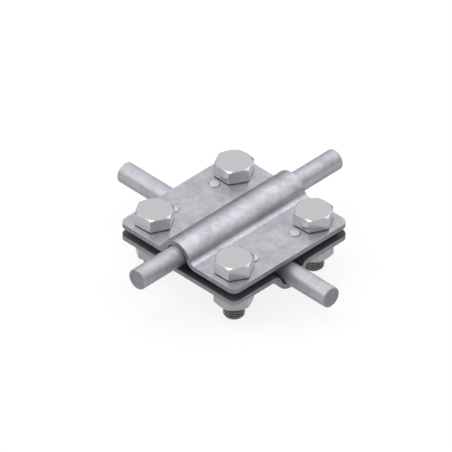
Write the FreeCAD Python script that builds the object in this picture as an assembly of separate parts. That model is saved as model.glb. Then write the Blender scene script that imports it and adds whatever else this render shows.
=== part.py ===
import FreeCAD, Part
import math
import os

from FreeCAD import Vector

# A cross clamp that holds two round rods at right angles. Two square plates of pressed
# sheet steel are one and the same stamping: each has a groove right across it. The upper
# plate lies with its groove over the rod along Y. The lower plate is turned over and a
# quarter round, so its groove is under the rod along X. The rods cross and touch between
# them, and four hexagon bolts with nuts draw the plates together.
#
# Lengths are in millimetres. The origin is in the middle of the bolt pattern, in the
# plane of the bolt tips on which the clamp stands, and +Z points from the nuts to the
# bolt heads.

# Rods, each measured from the crossing to its cut ends
rod_diameter = 8.0
upper_rod_front_reach = 49.0
upper_rod_back_reach = 51.0
lower_rod_right_reach = 49.0
lower_rod_left_reach = 55.0

# Stamping
plate_side = 58.0
plate_thickness = 2.0
plate_corner_radius = 3.0
groove_radius = 5.2
groove_depth = 6.38
groove_shoulder_radius = 2.33
bolt_spacing = 40.0
bolt_hole_diameter = 9.0

# Pips sheared half out of the sheet beside the bolt holes
pip_diameter = 4.2
pip_height = 0.5
pip_spacing_across_groove = 40.6
pip_spacing_along_groove = 20.8

# Bolts M8 x 20
bolt_diameter = 8.0
bolt_length = 20.0
bolt_tip_chamfer = 0.8
head_height = 5.5
head_washer_face_diameter = 11.8
head_washer_face_height = 0.4

# Hexagons of the heads and nuts
hex_across_flats = 13.0
hex_chamfer_circle = 12.8
hex_chamfer_angle = 30.0

# Nuts M8
nut_height = 6.2
nut_countersink_diameter = 8.9

# Where tightening left each hexagon, in degrees from having two corners on the X axis
head_turn = {
    "front": 0.0,
    "right": 3.0,
    "back": 0.0,
    "left": 3.0,
}
nut_turn = {
    "front": -3.0,
    "right": 29.0,
    "back": 12.0,
    "left": 25.0,
}

# Clearances
seat_clearance = 0.02
thread_clearance = 0.05

# Derived places: the rods touch at the crossing, and each groove's crown rests on its rod
rod_radius = rod_diameter / 2
rod_offset = rod_radius + seat_clearance / 2
inner_face_offset = rod_offset + rod_radius + seat_clearance - groove_depth
outer_face_offset = inner_face_offset + plate_thickness
crossing_height = bolt_length - outer_face_offset

corners = {
    "front": (1, -1),
    "right": (1, 1),
    "back": (-1, 1),
    "left": (-1, -1),
}


def arc(centre, radius, start_degrees, end_degrees):
    """An arc in the XZ plane, its angles counted from +X towards +Z."""
    points = []
    for degrees in (start_degrees, (start_degrees + end_degrees) / 2, end_degrees):
        angle = math.radians(degrees)
        points.append(centre + Vector(radius * math.cos(angle), 0, radius * math.sin(angle)))
    return Part.Arc(*points).toShape()


def sheet_section():
    """Section of the grooved sheet in the XZ plane, its inner flat face on z = 0.

    The crown is one arc of constant wall, and a shoulder arc on each side leads tangent
    from it into the flat.
    """
    crown = Vector(0, 0, groove_depth - groove_radius)
    crown_radius = groove_radius + plate_thickness
    shoulder_height = plate_thickness + groove_shoulder_radius
    shoulder_rise = shoulder_height - crown.z
    shoulder_reach = math.sqrt((crown_radius + groove_shoulder_radius) ** 2 - shoulder_rise ** 2)
    tangent = math.degrees(math.atan2(shoulder_rise, shoulder_reach))
    inner_shoulder_radius = groove_shoulder_radius + plate_thickness
    right = Vector(shoulder_reach, 0, shoulder_height)
    left = Vector(-shoulder_reach, 0, shoulder_height)
    edge = plate_side / 2

    def line(x_start, z_start, x_end, z_end):
        return Part.makeLine(Vector(x_start, 0, z_start), Vector(x_end, 0, z_end))

    edges = [
        line(-edge, 0, -shoulder_reach, 0),
        arc(left, inner_shoulder_radius, -90, -tangent),
        arc(crown, groove_radius, 180 - tangent, tangent),
        arc(right, inner_shoulder_radius, 180 + tangent, 270),
        line(shoulder_reach, 0, edge, 0),
        line(edge, 0, edge, plate_thickness),
        line(edge, plate_thickness, shoulder_reach, plate_thickness),
        arc(right, groove_shoulder_radius, 270, 180 + tangent),
        arc(crown, crown_radius, tangent, 180 - tangent),
        arc(left, groove_shoulder_radius, -tangent, -90),
        line(-shoulder_reach, plate_thickness, -edge, plate_thickness),
        line(-edge, plate_thickness, -edge, 0),
    ]
    return Part.Wire(edges)


def turned(profile):
    """A solid turned about Z from (radius, height) points, closed along the axis."""
    points = [Vector(radius, 0, height) for radius, height in profile]
    wire = Part.makePolygon(points + [points[0]])
    return Part.Face(wire).revolve(Vector(0, 0, 0), Vector(0, 0, 1), 360)


def rounded_square():
    """Upright prism of the plate's outline, tall enough to trim the pressed sheet."""
    height = groove_depth + plate_thickness
    side = plate_side
    block = Part.makeBox(side, side, 3 * height, Vector(-side / 2, -side / 2, -height))
    upright = [edge for edge in block.Edges if abs(edge.tangentAt(edge.FirstParameter).z) > 0.99]
    return block.makeFillet(plate_corner_radius, upright)


def pip():
    """A straight-walled pip that stands on the plate's outer face."""
    root = plate_thickness / 2
    return Part.makeCylinder(pip_diameter / 2, plate_thickness + pip_height - root, Vector(0, 0, root))


def stamping():
    """The grooved plate, groove along Y and crown up, inner flat face on z = 0."""
    sheet = Part.Face(sheet_section()).extrude(Vector(0, plate_side, 0))
    sheet.translate(Vector(0, -plate_side / 2, 0))
    plate = sheet.common(rounded_square())
    for across, along in corners.values():
        hole = Part.makeCylinder(bolt_hole_diameter / 2, plate_thickness)
        hole.translate(Vector(across * bolt_spacing / 2, along * bolt_spacing / 2, 0))
        plate = plate.cut(hole)
        place = Vector(
            across * pip_spacing_across_groove / 2,
            along * pip_spacing_along_groove / 2,
            0,
        )
        button = pip()
        button.translate(place)
        plate = plate.fuse(button)
    return plate.removeSplitter()


def upper_plate():
    plate = stamping()
    plate.translate(Vector(0, 0, crossing_height + inner_face_offset))
    return plate


def lower_plate():
    plate = stamping()
    plate.rotate(Vector(0, 0, 0), Vector(1, 0, 0), 180)
    plate.rotate(Vector(0, 0, 0), Vector(0, 0, 1), 90)
    plate.translate(Vector(0, 0, crossing_height - inner_face_offset))
    return plate


def upper_rod():
    length = upper_rod_front_reach + upper_rod_back_reach
    start = Vector(0, -upper_rod_front_reach, crossing_height + rod_offset)
    return Part.makeCylinder(rod_radius, length, start, Vector(0, 1, 0))


def lower_rod():
    length = lower_rod_left_reach + lower_rod_right_reach
    start = Vector(-lower_rod_left_reach, 0, crossing_height - rod_offset)
    return Part.makeCylinder(rod_radius, length, start, Vector(1, 0, 0))


def hexagon(bottom, top):
    """Hexagon prism with corners on the X axis and flats facing along Y."""
    corner = hex_across_flats / math.sqrt(3)
    points = []
    for step in range(7):
        angle = math.radians(60 * step)
        points.append(Vector(corner * math.cos(angle), corner * math.sin(angle), bottom))
    return Part.Face(Part.makePolygon(points)).extrude(Vector(0, 0, top - bottom))


def chamfer_drop():
    """Height over which the cone at a hexagon's end runs out past its corners."""
    corner = hex_across_flats / math.sqrt(3)
    return (corner - hex_chamfer_circle / 2) * math.tan(math.radians(hex_chamfer_angle))


def bolt():
    """Hexagon bolt, its washer face on z = 0 and its shank down to the chamfered tip."""
    corner = hex_across_flats / math.sqrt(3)
    chamfer_circle = hex_chamfer_circle / 2
    washer = head_washer_face_diameter / 2
    shank = bolt_diameter / 2
    envelope = turned([
        (0, head_washer_face_height),
        (corner, head_washer_face_height),
        (corner, head_height - chamfer_drop()),
        (chamfer_circle, head_height),
        (0, head_height),
    ])
    head = hexagon(head_washer_face_height, head_height).common(envelope)
    washer_face = Part.makeCylinder(washer, head_washer_face_height)
    body = turned([
        (0, 0),
        (shank, 0),
        (shank, bolt_tip_chamfer - bolt_length),
        (shank - bolt_tip_chamfer, -bolt_length),
        (0, -bolt_length),
    ])
    return head.fuse(washer_face).fuse(body).removeSplitter()


def nut():
    """Hexagon nut hanging down from its bearing face on z = 0.

    Its corners are chamfered at both ends, and its bore is countersunk at the lower one.
    """
    corner = hex_across_flats / math.sqrt(3)
    chamfer_circle = hex_chamfer_circle / 2
    bore = bolt_diameter / 2 + thread_clearance
    mouth = nut_countersink_diameter / 2
    countersink = mouth - bore
    envelope = turned([
        (0, 0),
        (chamfer_circle, 0),
        (corner, -chamfer_drop()),
        (corner, chamfer_drop() - nut_height),
        (chamfer_circle, -nut_height),
        (0, -nut_height),
    ])
    hole = turned([
        (0, 0),
        (bore, 0),
        (bore, countersink - nut_height),
        (mouth, -nut_height),
        (0, -nut_height),
    ])
    return hexagon(-nut_height, 0).common(envelope).cut(hole)


def fasteners():
    """The four bolts from above and their nuts from below, by name."""
    pieces = {}
    for corner, (x_side, y_side) in corners.items():
        x = x_side * bolt_spacing / 2
        y = y_side * bolt_spacing / 2
        screw = bolt()
        screw.rotate(Vector(0, 0, 0), Vector(0, 0, 1), head_turn[corner])
        screw.translate(Vector(x, y, crossing_height + outer_face_offset))
        pieces["bolt_" + corner] = screw
        hexagon_nut = nut()
        hexagon_nut.rotate(Vector(0, 0, 0), Vector(0, 0, 1), nut_turn[corner])
        hexagon_nut.translate(Vector(x, y, crossing_height - outer_face_offset))
        pieces["nut_" + corner] = hexagon_nut
    return pieces


def build():
    pieces = {
        "upper_plate": upper_plate(),
        "lower_plate": lower_plate(),
        "upper_rod": upper_rod(),
        "lower_rod": lower_rod(),
    }
    pieces.update(fasteners())
    os.makedirs("parts", exist_ok=True)
    for name, shape in pieces.items():
        shape.exportStep("parts/" + name + ".step")
        print(name, len(shape.Solids), "solid,", round(shape.Volume), "mm3, valid", shape.isValid())


build()
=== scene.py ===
# %% [markdown]
# # A cross clamp for two round rods
#
# Two square plates of pressed sheet steel hold two round rods at right angles, and four
# hexagon bolts with nuts draw them together. Every piece already has its real size and
# place in the frame. What is left for this lesson is what makes metal look like metal:
# rounded edges that catch light, threads that are really cut, and the finishes, which are
# hot-dip zinc on plates and rods and thin bright zinc on bolts and nuts.
#
# The frame comes first. It is fixed, so every new piece takes its sizes and place from it.

# %% Load the frame and keep its box
import math

import bmesh
import bpy
from mathutils import Matrix, Vector


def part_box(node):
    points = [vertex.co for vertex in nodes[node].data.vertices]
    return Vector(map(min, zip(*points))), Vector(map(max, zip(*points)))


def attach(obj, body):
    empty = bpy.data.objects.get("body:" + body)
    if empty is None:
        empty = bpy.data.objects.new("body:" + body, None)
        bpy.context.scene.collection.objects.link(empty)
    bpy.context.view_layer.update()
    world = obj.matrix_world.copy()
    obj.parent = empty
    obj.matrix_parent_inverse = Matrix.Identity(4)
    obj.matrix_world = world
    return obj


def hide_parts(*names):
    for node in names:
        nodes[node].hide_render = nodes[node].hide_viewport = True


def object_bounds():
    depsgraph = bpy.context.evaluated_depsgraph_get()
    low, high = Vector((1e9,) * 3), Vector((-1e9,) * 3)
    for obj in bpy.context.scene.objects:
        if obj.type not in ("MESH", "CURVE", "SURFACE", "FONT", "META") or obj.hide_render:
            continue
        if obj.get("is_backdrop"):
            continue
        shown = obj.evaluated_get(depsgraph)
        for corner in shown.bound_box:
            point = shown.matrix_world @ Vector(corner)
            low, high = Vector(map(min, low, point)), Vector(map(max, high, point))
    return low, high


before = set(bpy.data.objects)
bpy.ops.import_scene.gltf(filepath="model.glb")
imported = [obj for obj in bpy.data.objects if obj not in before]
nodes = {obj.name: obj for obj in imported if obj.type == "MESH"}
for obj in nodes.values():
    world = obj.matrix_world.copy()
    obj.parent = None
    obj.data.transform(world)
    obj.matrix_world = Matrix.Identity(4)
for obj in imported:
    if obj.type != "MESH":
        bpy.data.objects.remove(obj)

frame_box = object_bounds()
mm = 0.001
frame_size = frame_box[1] - frame_box[0]
print(len(nodes), "nodes, box in mm:", [round(side / mm, 2) for side in frame_size])

# %% [markdown]
# ## Joining a copy of a frame node
#
# A node of the frame is a heap of loose triangles: no two share a corner, so nothing on
# them can be rounded. We work on a copy. Merging the corners that coincide joins the
# triangles, and dissolving the lines between coplanar ones turns them back into the flat
# faces that a person would draw. A remesh would also join them, but it would soften every
# crisp edge of the sheet.

# %% Copy a node with its triangles joined
same_point = 0.002 * mm
same_plane = math.radians(0.5)


def joined_copy(node):
    """A bmesh of a node's shape, with its corners merged and its flat faces whole."""
    shape = bmesh.new()
    shape.from_mesh(nodes[node].data)
    bmesh.ops.remove_doubles(shape, verts=shape.verts, dist=same_point)
    bmesh.ops.dissolve_limit(shape, angle_limit=same_plane, verts=shape.verts, edges=shape.edges)
    return shape


sample = joined_copy("upper_plate")
loose = len(nodes["upper_plate"].data.polygons)
print("upper_plate:", loose, "loose triangles become", len(sample.faces), "faces")
sample.free()

# %% [markdown]
# ## Rounding edges
#
# No real edge is a knife. Shearing rolls the edge of sheet a little, and the zinc bath
# rounds it further, so each edge shows as a thin line of its own tone. A bevel along every
# edge that turns by more than a set angle gives that line. The angle keeps the bevel off the
# small steps between the facets of a curve.

# %% Bevel the sharp edges
sharp_turn = math.radians(28)


def sharp_edges(shape):
    return [e for e in shape.edges if e.is_manifold and e.calc_face_angle() > sharp_turn]


def round_edges(shape, edges, width, steps=2):
    """Rounds the edges to a given width, in a few steps each."""
    bmesh.ops.bevel(
        shape,
        geom=edges,
        offset=width,
        offset_type="OFFSET",
        affect="EDGES",
        segments=steps,
        profile=0.5,
        material=-1,
        clamp_overlap=True,
    )


sample = joined_copy("nut_front")
print("nut_front:", len(sharp_edges(sample)), "sharp edges")
sample.free()

# %% [markdown]
# ## Turning a bmesh into a finished piece
#
# All pieces end the same way. The faces are shaded smooth, and a Weighted Normal modifier
# lets the large faces decide the shading at their rims, so that flats stay flat and only
# the narrow bevels bend the light. Edges that must stay crisp, such as a thread's flanks, are
# marked sharp. The piece then rides on the one body there is and stands for its node.

# %% Make a piece stand for its node
def finish_piece(shape, name, node, materials, crisp=None):
    """An object from a bmesh: smooth, weighted, riding on the root and replacing its node."""
    mesh = bpy.data.meshes.new(name)
    shape.to_mesh(mesh)
    shape.free()
    mesh.polygons.foreach_set("use_smooth", [True] * len(mesh.polygons))
    if crisp is not None:
        mesh.set_sharp_from_angle(angle=crisp)
    for material in materials:
        mesh.materials.append(material)
    piece = bpy.data.objects.new(name, mesh)
    bpy.context.scene.collection.objects.link(piece)
    weighting = piece.modifiers.new("flats_stay_flat", "WEIGHTED_NORMAL")
    weighting.keep_sharp = crisp is not None
    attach(piece, "root")
    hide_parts(node)
    print(name, len(mesh.polygons), "faces")
    return piece


for node in nodes:
    kind = node.split("_")[0]
    if kind in ("upper", "lower"):
        kind = node.split("_")[1]

# %% [markdown]
# ## Node helpers
#
# Colours are easiest to read as the hex values of a paint program, but the renderer counts
# in linear light, so one function converts them. A second one adds any shader node, with
# its settings and its inputs in one call: a socket is linked, and any other value is set.

# %% Colour and node helpers
def linear(code):
    """The linear colour of an sRGB hex code."""
    channels = [int(code[i:i + 2], 16) / 255 for i in (0, 2, 4)]
    light = [c / 12.92 if c <= 0.04045 else ((c + 0.055) / 1.055) ** 2.4 for c in channels]
    return (*light, 1.0)


def add_node(tree, kind, inputs=None, **settings):
    """A new shader node with its settings, and with its inputs set or linked."""
    node = tree.nodes.new("ShaderNode" + kind)
    for name, value in settings.items():
        setattr(node, name, value)
    for name, value in (inputs or {}).items():
        if isinstance(value, bpy.types.NodeSocket):
            tree.links.new(value, node.inputs[name])
        else:
            node.inputs[name].default_value = value
    return node


def new_material(name):
    """An empty node material and its tree, with the output to link to."""
    material = bpy.data.materials.new(name)
    material.use_nodes = True
    tree = material.node_tree
    tree.nodes.clear()
    return material, tree, add_node(tree, "OutputMaterial")


print("mid grey 808080 is", round(linear("808080")[0], 3), "in linear light")

# %% [markdown]
# ## Hot-dip galvanised steel
#
# Pieces dipped in molten zinc come out with a coat as thick as paint. When it has dulled it
# is a matt, slightly lilac grey with soft clouds a few millimetres across, where the zinc
# drained and froze at different speeds. Two layers of noise make the clouds, one broad and
# one finer. They drive the colour and, the other way, the roughness, because the lighter
# patches are also the smoother ones. A very low bump gives the orange-peel of the coat.
#
# The rods were drawn through a die and then passed through the bath lengthwise. Their coat
# has faint rings across the rod, so on them the finer noise is squeezed along the rod and
# stretched round it.
#
# Seen at a flat angle, a rough metal hides the far slopes of its own grain, so it mirrors less
# than a smooth one there. A grey specular tint, which on metal acts only at flat angles, does
# that on all these finishes and keeps the far side of the rods dark.

# %% Galvanised finish
flat_angle_tint = linear("989898")
mottle_range = (0.36, 0.64)
gloss_spread = 0.02
peel_depth = 0.02 * mm


def galvanised(name, dark, light, cloud_size, fleck_size, roughness, fleck_share, metallic):
    """Dulled hot-dip zinc: sizes are in metres, and fleck_size has one length for each axis."""
    material, tree, output = new_material(name)
    place = add_node(tree, "TexCoord").outputs["Object"]
    clouds = add_node(tree, "TexNoise", {
        "Vector": place,
        "Scale": 1 / cloud_size,
        "Detail": 3.0,
        "Roughness": 0.55,
    })
    stretched = add_node(tree, "Mapping", {
        "Vector": place,
        "Scale": [1 / length for length in fleck_size],
    })
    flecks = add_node(tree, "TexNoise", {
        "Vector": stretched.outputs["Vector"],
        "Scale": 1.0,
        "Detail": 3.0,
        "Roughness": 0.6,
    })
    mottle = add_node(tree, "Mix", {
        "Factor": fleck_share,
        "A": clouds.outputs["Fac"],
        "B": flecks.outputs["Fac"],
    }, data_type="FLOAT")
    shade = add_node(tree, "MapRange", {
        "Value": mottle.outputs["Result"],
        "From Min": mottle_range[0],
        "From Max": mottle_range[1],
    })
    tint = add_node(tree, "Mix", {
        "Factor": shade.outputs["Result"],
        "A": linear(dark),
        "B": linear(light),
    }, data_type="RGBA")
    gloss = add_node(tree, "MapRange", {
        "Value": shade.outputs["Result"],
        "To Min": roughness + gloss_spread,
        "To Max": roughness - gloss_spread,
    })
    peel = add_node(tree, "Bump", {
        "Strength": 0.2,
        "Distance": peel_depth,
        "Height": flecks.outputs["Fac"],
    })
    surface = add_node(tree, "BsdfPrincipled", {
        "Base Color": tint.outputs["Result"],
        "Metallic": metallic,
        "Specular Tint": flat_angle_tint,
        "Roughness": gloss.outputs["Result"],
        "Normal": peel.outputs["Normal"],
    })
    tree.links.new(surface.outputs["BSDF"], output.inputs["Surface"])
    return material


# %% [markdown]
# ## One coat, six surfaces
#
# The same coat looks different where the steel below it differs. A dulled coat is part metal
# and part zinc salt, so none of these surfaces is fully metallic, and the rods have dulled
# more than the plates. Where the shear parted the metal, along the rims of the plates and at
# the ends of the rods, the surface is torn and grey. The faces that the two plates turn to
# each other are the dullest: the bath drains badly from the narrow gap, and flux and dirt stay
# on them. The tops of the pips are the opposite: the punch burnished them, and they shine
# through the coat.

# %% Coats of the plates, pips, rods, inner faces and sheared rims
plate_zinc = galvanised(
    "galvanised_plate_zinc", "ADACB3", "C7C6CE", cloud_size=9 * mm,
    fleck_size=(2.2 * mm, 2.2 * mm, 2.2 * mm), roughness=0.38, fleck_share=0.4, metallic=0.8,
)
# painted highlight: the pip tops are drawn lighter than the plate
pip_highlight_zinc = galvanised(
    "galvanised_pip_highlight", "D0CFD6", "DEDDE4", cloud_size=9 * mm,
    fleck_size=(2.5 * mm, 2.5 * mm, 2.5 * mm), roughness=0.34, fleck_share=0.35, metallic=0.8,
)
upper_rod_zinc = galvanised(
    "galvanised_upper_rod_zinc", "AFAEB5", "C6C5CD", cloud_size=8 * mm,
    fleck_size=(3.5 * mm, 1.2 * mm, 3.5 * mm), roughness=0.42, fleck_share=0.5, metallic=0.48,
)
lower_rod_zinc = galvanised(
    "galvanised_lower_rod_zinc", "B6B5BC", "CBCAD2", cloud_size=8 * mm,
    fleck_size=(1.0 * mm, 3.5 * mm, 3.5 * mm), roughness=0.42, fleck_share=0.6, metallic=0.42,
)
# painted shade: the faces the plates turn to each other are drawn dark grey for the shade in the
# gap
inner_shade_zinc = galvanised(
    "galvanised_inner_shade", "5A595E", "68676C", cloud_size=9 * mm,
    fleck_size=(2.5 * mm, 2.5 * mm, 2.5 * mm), roughness=0.6, fleck_share=0.35, metallic=0.3,
)
# painted shade: the sideways rims of the plates and the flat ends of the rods are drawn a darker
# grey
side_shade_zinc = galvanised(
    "side_shade_zinc", "919095", "A3A2A8", cloud_size=5 * mm,
    fleck_size=(0.8 * mm, 0.8 * mm, 2 * mm), roughness=0.5, fleck_share=0.6, metallic=0.6,
)
coats = [plate_zinc, pip_highlight_zinc, upper_rod_zinc, lower_rod_zinc, inner_shade_zinc, side_shade_zinc]
print("hot-dip coats:", [coat.name for coat in coats])

# %% [markdown]
# ## Bright zinc plating
#
# Bolts and nuts are electroplated: the zinc is a few thousandths of a millimetre thick and
# even, over a surface that was cold formed smooth. So it is a neutral grey with a soft,
# regular gloss. The passivation on it scatters some of the light, and the finish is a little
# less than fully metallic for that. Its only pattern is the grain of the plating, which is
# too fine to show and is drawn 0.7 mm wide. The thread is the same metal, drawn darker as
# painted shade, most of all in its grooves. Every point of a bolt will carry a number for
# that, and the finish mixes in a dark grey by it. The nuts are drawn a darker grey than the
# bolts, as painted shade below the plates.

# %% Zinc-plated finish
plating_grain = 0.7 * mm


def zinc_plated(name, colour, roughness):
    """Electroplated zinc: an even colour, mixed towards dark grey by painted thread shade, with a
    fine grain in its gloss.
    """
    material, tree, output = new_material(name)
    place = add_node(tree, "TexCoord").outputs["Object"]
    # painted shade: the thread is mixed towards dark grey, most in its roots
    thread_shade = add_node(tree, "Attribute", attribute_name="thread_shade")
    tint = add_node(tree, "Mix", {
        "Factor": thread_shade.outputs["Fac"],
        "A": linear(colour),
        "B": linear("3A3A3A"),
    }, data_type="RGBA")
    grit = add_node(tree, "TexNoise", {
        "Vector": place,
        "Scale": 1 / plating_grain,
        "Detail": 2.0,
    })
    gloss = add_node(tree, "MapRange", {
        "Value": grit.outputs["Fac"],
        "To Min": roughness - gloss_spread,
        "To Max": roughness + gloss_spread,
    })
    surface = add_node(tree, "BsdfPrincipled", {
        "Base Color": tint.outputs["Result"],
        "Metallic": 0.7,
        "Roughness": gloss.outputs["Result"],
    })
    tree.links.new(surface.outputs["BSDF"], output.inputs["Surface"])
    return material


bolt_zinc = zinc_plated("bright_zinc_plating_on_bolt", "BFBFC1", roughness=0.24)
# painted shade: the nuts' plating is a darker grey than the bolts', for the nuts below the plates
nut_zinc = zinc_plated("bright_zinc_plating_on_nut", "AFAFB1", roughness=0.34)
print("platings:", bolt_zinc.name, nut_zinc.name)

# %% [markdown]
# ## The pressed plates
#
# Both plates come from one tool. The press bends the groove, pierces the four holes and
# shears the pips half out in one stroke. The frame holds that shape, so the work left is to
# join its copy, round its edges and give its faces their finishes. The punch drags the rim of a
# pip down further than the shear does the rim of the sheet, so the pips come first and get the
# larger radius. Their tops are easy to find: no other level face has so many corners and is
# about 4 mm across, and they get a painted highlight. Which way a face looks, read from its
# normal, tells the sheared rims and the inner faces apart, and both get painted shade.

# %% Plates
sheet_edge = 0.22 * mm
pip_edge = 0.36 * mm
pip_top_area = (8 * mm ** 2, 16 * mm ** 2)
plate_corner = 3 * mm
level = 0.99
upright = 0.1
leans_inward = 0.2
fewest_corners = 13


def is_pip_top(face):
    smallest, largest = pip_top_area
    is_round = len(face.verts) >= fewest_corners
    return abs(face.normal.z) > level and is_round and smallest < face.calc_area() < largest


def is_outline_side(face, half_side):
    """Whether a face looks sideways and lies on the outline of the plate."""
    middle = face.calc_center_median()
    outlying = max(abs(middle.x), abs(middle.y)) > half_side - plate_corner
    return outlying and abs(face.normal.z) < upright


def pressed_plate(node, inward):
    """A plate with rounded rims, painted shade on its sheared rims and inner faces, painted
    highlight on pips.
    """
    half_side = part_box(node)[1].x
    shape = joined_copy(node)
    tops = [face for face in shape.faces if is_pip_top(face)]
    print(node, "pips:", len(tops))
    round_edges(shape, list({edge for face in tops for edge in face.edges}), pip_edge, steps=3)
    round_edges(shape, sharp_edges(shape), sheet_edge)
    for face in shape.faces:
        # the sideways rims of the plate get painted shade
        if is_outline_side(face, half_side):
            face.material_index = 1
        # the inner faces get painted shade
        elif face.normal.z * inward > leans_inward:
            face.material_index = 2
        # the pip tops get a painted highlight
        elif is_pip_top(face):
            face.material_index = 3
    finishes = [plate_zinc, side_shade_zinc, inner_shade_zinc, pip_highlight_zinc]
    return finish_piece(shape, "pressed_" + node, node, finishes)


plates = [pressed_plate("upper_plate", inward=-1), pressed_plate("lower_plate", inward=1)]

# %% [markdown]
# ## The rods
#
# A rod is a plain cylinder, so we draw it afresh with more sides than the frame's copy has.
# It was cropped to length, and the crop leaves a narrow rounded rim and a flat end, drawn darker as
# painted shade.

# %% Rods
rod_sides = 96
rod_rim = 0.3 * mm
looks_along = 0.95


def round_rod(node, axis, material):
    """A rod along one axis of the frame, as long and thick as its node."""
    low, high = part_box(node)
    centre = (low + high) / 2
    length = (high - low)[axis]
    radius = (high - low).z / 2
    turn = Matrix.Rotation(math.pi / 2, 4, "Y" if axis == 0 else "X")
    shape = bmesh.new()
    bmesh.ops.create_cone(
        shape,
        cap_ends=True,
        segments=rod_sides,
        radius1=radius,
        radius2=radius,
        depth=length,
        matrix=Matrix.Translation(centre) @ turn,
    )
    round_edges(shape, sharp_edges(shape), rod_rim)
    for face in shape.faces:
        # the flat ends of the rod get painted shade
        face.material_index = int(abs(face.normal[axis]) > looks_along)
    return finish_piece(shape, "round_" + node, node, [material, side_shade_zinc])


rods = [round_rod("upper_rod", 1, upper_rod_zinc), round_rod("lower_rod", 0, lower_rod_zinc)]

# %% [markdown]
# ## The nuts
#
# The nuts are right in the frame, hexagon, chamfers and bore. They only lack the small
# radius along each edge that forging leaves.

# %% Nuts
forged_edge = 0.1 * mm


def hexagon_nut(corner):
    node = "nut_" + corner
    shape = joined_copy(node)
    round_edges(shape, sharp_edges(shape), forged_edge)
    return finish_piece(shape, "hexagon_" + node, node, [nut_zinc])


corners = [node.split("_")[1] for node in nodes if node.startswith("bolt_")]
nuts = [hexagon_nut(corner) for corner in corners]

# %% [markdown]
# ## The bolts
#
# The head is right in the frame too, but the shank there is a plain cylinder. A real thread
# is one ridge that climbs in a helix. The spin operator makes it in one call when it also
# lifts by one pitch a turn: we spin the outline of a single ridge, from root over crest to
# root, and the end of each turn meets the start of the next.
#
# The ridges that show in the photo lie about 0.9 mm apart. The nearest thread of this
# diameter is the fine one, with a pitch of 1 mm. Each flank leans 30 degrees from a plane
# across the bolt, the crest is an eighth of the pitch wide, and what is left is the root.

# %% One ridge of the thread, spun into a helix
pitch = 1.0 * mm
thread_depth = 0.6134 * pitch
crest = pitch / 8
flank_angle = math.radians(30)
steps_per_turn = 48
lead_in = 2 * pitch
spare_turns = 3


def threaded_rod(radius, bottom, top):
    """A helical thread about the Z axis that runs past both heights."""
    root = radius - thread_depth
    flank = thread_depth * math.tan(flank_angle)
    half_root = (pitch - crest) / 2 - flank
    outline = [(root, 0), (root, half_root), (radius, half_root + flank)]
    outline += [(radius, pitch - half_root - flank), (root, pitch - half_root), (root, pitch)]
    turns = math.ceil((top - bottom) / pitch) + spare_turns
    shape = bmesh.new()
    points = [shape.verts.new((r, 0, bottom - lead_in + z)) for r, z in outline]
    for start, end in zip(points, points[1:]):
        shape.edges.new((start, end))
    bmesh.ops.spin(
        shape,
        geom=shape.verts[:] + shape.edges[:],
        cent=(0, 0, 0),
        axis=(0, 0, 1),
        dvec=(0, 0, pitch / steps_per_turn),
        angle=2 * math.pi * turns,
        steps=steps_per_turn * turns,
        use_merge=False,
    )
    bmesh.ops.remove_doubles(shape, verts=shape.verts, dist=same_point)
    return shape


print("thread:", round(pitch / mm, 2), "mm pitch,", round(thread_depth / mm, 2), "mm deep")

# %% [markdown]
# The helix runs past both ends, and two plane cuts trim it to the length of the shank. At the
# tip a chamfer leads the nut on: every point outside a cone of 45 degrees is pulled in to the
# cone.

# %% Trim the thread and chamfer its tip
tip_chamfer = 0.8 * mm


def trim(shape, height, keep_above):
    """Cuts the shape level at a height and keeps one side of the cut."""
    cut = bmesh.ops.bisect_plane(
        shape,
        geom=shape.verts[:] + shape.edges[:] + shape.faces[:],
        dist=same_point / 4,
        plane_co=(0, 0, height),
        plane_no=(0, 0, 1),
        clear_inner=keep_above,
        clear_outer=not keep_above,
    )
    return [part for part in cut["geom_cut"] if isinstance(part, bmesh.types.BMEdge)]


def threaded_shank(radius, tip, top):
    """The shank, closed and chamfered at its tip and open at its top."""
    shape = threaded_rod(radius, tip, top)
    trim(shape, top, keep_above=False)
    rim = trim(shape, tip, keep_above=True)
    for point in shape.verts:
        reach = math.hypot(point.co.x, point.co.y)
        cone = radius - tip_chamfer + (point.co.z - tip)
        if reach > cone:
            point.co.x *= cone / reach
            point.co.y *= cone / reach
    bmesh.ops.contextual_create(shape, geom=rim)
    return shape


print("tip chamfer:", round(tip_chamfer / mm, 2), "mm")

# %% [markdown]
# The head keeps its copy from the frame. All that lies below its washer face goes, and a
# short neck joins the round opening that is left there to the top of the thread. Every point
# gets its share of painted shade: none on the head, some on the crests of the thread and the
# most in its roots.

# %% Bolts
neck = 0.6 * mm
# painted shade on the thread: some on the crests, the most in the roots
crest_shade = 0.35
root_shade = 0.9
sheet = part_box("lower_plate")[1].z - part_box("nut_front")[1].z
head_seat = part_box("upper_plate")[0].z + sheet
thread_crisp = math.radians(40)


def bolt_head(node, centre):
    """The frame's head with rounded edges, on the Z axis, open where the shank goes in."""
    shape = joined_copy(node)
    bmesh.ops.translate(shape, verts=shape.verts, vec=(-centre.x, -centre.y, 0))
    below = [face for face in shape.faces if face.calc_center_median().z < head_seat - same_point]
    radius = max(math.hypot(point.co.x, point.co.y) for face in below for point in face.verts)
    bmesh.ops.delete(shape, geom=below, context="FACES")
    round_edges(shape, sharp_edges(shape), forged_edge)
    mesh = bpy.data.meshes.new("bolt_head")
    shape.to_mesh(mesh)
    shape.free()
    return mesh, radius


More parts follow.
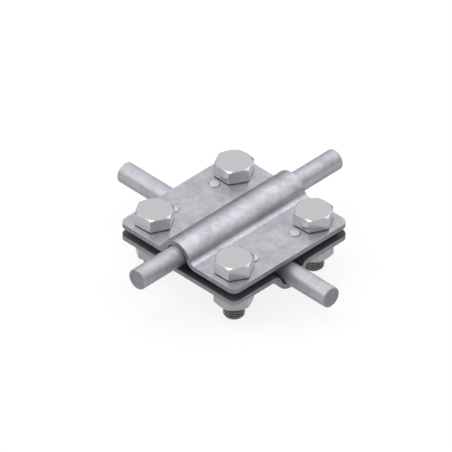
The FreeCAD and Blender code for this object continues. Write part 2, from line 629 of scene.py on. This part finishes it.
def hexagon_bolt(corner):
    """A bolt with a real thread, in its place at one corner of the plates."""
    node = "bolt_" + corner
    low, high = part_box(node)
    centre = (low + high) / 2
    head, radius = bolt_head(node, centre)
    shape = threaded_shank(radius, low.z, head_seat - neck)
    # each point of the thread gets its share of painted shade
    thread_shade = shape.verts.layers.float.new("thread_shade")
    for point in shape.verts:
        depth = (radius - math.hypot(point.co.x, point.co.y)) / thread_depth
        point[thread_shade] = crest_shade + (root_shade - crest_shade) * min(depth, 1)
    shank_points = len(shape.verts)
    shape.from_mesh(head)
    bpy.data.meshes.remove(head)
    shape.verts.ensure_lookup_table()
    for point in shape.verts[shank_points:]:
        point[thread_shade] = 0.0
    openings = [edge for edge in shape.edges if edge.is_boundary]
    bmesh.ops.bridge_loops(shape, edges=openings)
    bmesh.ops.recalc_face_normals(shape, faces=shape.faces)
    open_edges = sum(not edge.is_manifold for edge in shape.edges)
    print(node, "volume", round(shape.calc_volume() / mm ** 3), "mm3, open edges", open_edges)
    bmesh.ops.translate(shape, verts=shape.verts, vec=(centre.x, centre.y, 0))
    return finish_piece(shape, "threaded_" + node, node, [bolt_zinc], crisp=thread_crisp)


bolts = [hexagon_bolt(corner) for corner in corners]

# %% [markdown]
# ## Floor
#
# The clamp stands on its bolt tips on a pale studio floor. To the camera, and in the gloss of
# the metal, the floor glows nearly white, so that it has no far edge. Its true, lit surface
# adds the rest of the white, and that part is what the clamp's soft shadow takes away.

# %% Floor
floor_size = 6.0
floor_glow = 0.84
floor_material, tree, output = new_material("studio_floor")
path = add_node(tree, "LightPath")
camera_or_gloss = add_node(tree, "Math", {
    0: path.outputs["Is Camera Ray"],
    1: path.outputs["Is Glossy Ray"],
}, operation="MAXIMUM")
seen = add_node(tree, "Math", {
    0: camera_or_gloss.outputs["Value"],
    1: path.outputs["Is Transmission Ray"],
}, operation="MAXIMUM")
strength = add_node(tree, "Math", {0: seen.outputs["Value"], 1: floor_glow}, operation="MULTIPLY")
lit = add_node(tree, "BsdfDiffuse", {"Color": linear("727272")})
glow = add_node(tree, "Emission", {
    "Color": linear("FFFFFF"),
    "Strength": strength.outputs["Value"],
})
floor_sum = add_node(tree, "AddShader", {0: lit.outputs["BSDF"], 1: glow.outputs["Emission"]})
tree.links.new(floor_sum.outputs["Shader"], output.inputs["Surface"])

floor_shape = bmesh.new()
bmesh.ops.create_grid(
    floor_shape,
    x_segments=1,
    y_segments=1,
    size=floor_size / 2,
    matrix=Matrix.Translation((0, 0, frame_box[0].z)),
)
floor_mesh = bpy.data.meshes.new("floor")
floor_shape.to_mesh(floor_mesh)
floor_shape.free()
floor_mesh.materials.append(floor_material)
floor = bpy.data.objects.new("floor", floor_mesh)
bpy.context.scene.collection.objects.link(floor)
floor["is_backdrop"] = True
print("floor:", floor_size, "m wide, at the height", round(frame_box[0].z / mm, 2), "mm")

# %% [markdown]
# ## Light
#
# Metal shows its surroundings, so the studio matters as much as the lamps. The room is a
# plain grey, dark at the horizon and brighter towards the ceiling. Below the floor it is
# white. The floor hides that from the clamp, and it only shows in a low view, past the near
# edge of the floor.
#
# Seven softboxes stand in it. The wide one behind the clamp is what the level faces mirror to
# the camera, the key at the left draws the long highlights along groove and rods, and the one
# overhead turns the chamfers of the heads white. The other four keep the right side and the
# far slopes from going black.

# %% World and lamps
world = bpy.data.worlds.new("studio_room")
bpy.context.scene.world = world
world.use_nodes = True
tree = world.node_tree
tree.nodes.clear()
height = add_node(tree, "SeparateXYZ", {"Vector": add_node(tree, "TexCoord").outputs["Generated"]})
room_level = add_node(tree, "MapRange", {
    "Value": height.outputs["Z"],
    "From Min": 0.0,
    "From Max": 1.0,
    "To Min": 0.06,
    "To Max": 0.5,
})
below = add_node(tree, "Math", {0: height.outputs["Z"], 1: 0.0}, operation="LESS_THAN")
room_strength = add_node(tree, "Math", {
    0: room_level.outputs["Result"],
    1: below.outputs["Value"],
}, operation="MAXIMUM")
room = add_node(tree, "Background", {
    "Color": linear("FFFFFF"),
    "Strength": room_strength.outputs["Value"],
})
add_node(tree, "OutputWorld", {"Surface": room.outputs["Background"]})

clamp_centre = (frame_box[0] + frame_box[1]) / 2
lamp_distance = 1.1


def soft_lamp(name, azimuth, elevation, size, power):
    """A square area lamp that looks at the clamp; azimuth is counted from +X towards +Y."""
    turn, rise = math.radians(azimuth), math.radians(elevation)
    way = Vector((math.cos(rise) * math.cos(turn), math.cos(rise) * math.sin(turn), math.sin(rise)))
    lamp = bpy.data.lights.new(name, "AREA")
    lamp.shape = "SQUARE"
    lamp.size = size
    lamp.energy = power
    holder = bpy.data.objects.new(name, lamp)
    bpy.context.scene.collection.objects.link(holder)
    holder.location = clamp_centre + way * lamp_distance
    holder.rotation_euler = way.to_track_quat("Z", "Y").to_euler()
    print(name, "at", [round(place, 2) for place in holder.location], "m")


soft_lamp("wide_back_softbox", 150, 52, size=1.3, power=3.6)
soft_lamp("key_softbox", -131, 38, size=0.88, power=4.3)
soft_lamp("overhead_softbox", -115, 76, size=0.42, power=1.7)
soft_lamp("right_back_softbox", 97, 38, size=0.7, power=2.0)
soft_lamp("right_softbox", 45, 32, size=0.7, power=1.3)
soft_lamp("high_right_softbox", 68, 51, size=0.5, power=0.8)
soft_lamp("right_front_softbox", -20, 52, size=0.7, power=1.5)

# %% [markdown]
# ## Camera
#
# The picture is a parallel projection: edges that are parallel on the clamp are parallel in
# it. So the camera is orthographic. It looks along a diagonal of the plates, from above, and
# the crossing of the rods lies a little below and to the right of the middle of the picture.

# %% Camera
view_azimuth = math.radians(45)
view_elevation = math.radians(37.54)
picture_width = 161.14 * mm
crossing_right_of_centre = 2.852 * mm
crossing_below_centre = 1.244 * mm
camera_distance = 1.0

right = Vector((math.cos(view_azimuth), math.sin(view_azimuth), 0))
back = Vector((
    math.sin(view_azimuth) * math.cos(view_elevation),
    -math.cos(view_azimuth) * math.cos(view_elevation),
    math.sin(view_elevation),
))
up = back.cross(right)
crossing_height = (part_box("upper_rod")[0].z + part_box("lower_rod")[1].z) / 2
crossing = Vector((0, 0, crossing_height))
lens = bpy.data.cameras.new("studio_camera")
lens.type = "ORTHO"
lens.ortho_scale = picture_width
camera = bpy.data.objects.new("studio_camera", lens)
bpy.context.scene.collection.objects.link(camera)
aim = crossing - crossing_right_of_centre * right + crossing_below_centre * up
camera.location = aim + back * camera_distance
camera.rotation_euler = back.to_track_quat("Z", "Y").to_euler()
bpy.context.scene.camera = camera
bpy.context.scene.view_settings.view_transform = "Standard"
print("camera at", [round(place, 3) for place in camera.location], "m")

# %% [markdown]
# ## The size of the dressed clamp
#
# The dressed clamp must fill the same box as the frame. Its box is printed below, as the frame's
# was at the start.

pieces = plates + rods + nuts + bolts
new_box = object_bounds()
new_size = new_box[1] - new_box[0]
print(len(pieces), "pieces, box in mm:", [round(side / mm, 2) for side in new_size])
